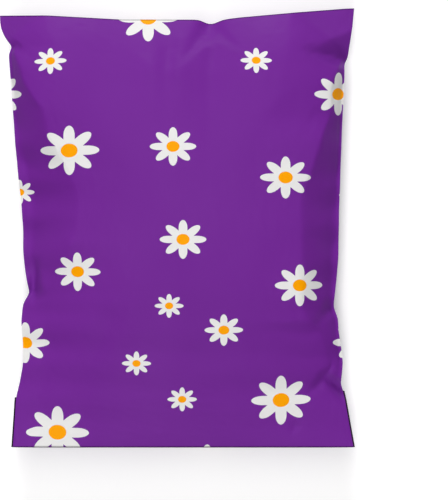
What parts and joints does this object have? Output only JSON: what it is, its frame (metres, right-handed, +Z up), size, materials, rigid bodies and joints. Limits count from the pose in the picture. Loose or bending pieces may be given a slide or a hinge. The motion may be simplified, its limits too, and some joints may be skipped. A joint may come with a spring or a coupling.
{
  "type": "poly mailer bag",
  "caption": "Filled, sealed poly mailer lying on its back: plump purple film envelope with flared corners, side welds, a flap stuck down on the back and a daisy print.",
  "frame": {"origin": "on the surface the bag lies on, under the middle of its outline", "axes": "+Z up out of the printed front, +X to the right across the bag, +Y from the flap's fold to the closed end"},
  "size_m": [0.2546, 0.3144, 0.05],
  "materials": {
    "printed_film": "satin polythene film, purple with white and orange daisies"
  },
  "bodies": {
    "root": {"mailer_bag": "printed_film"}
  },
  "joints": []
}
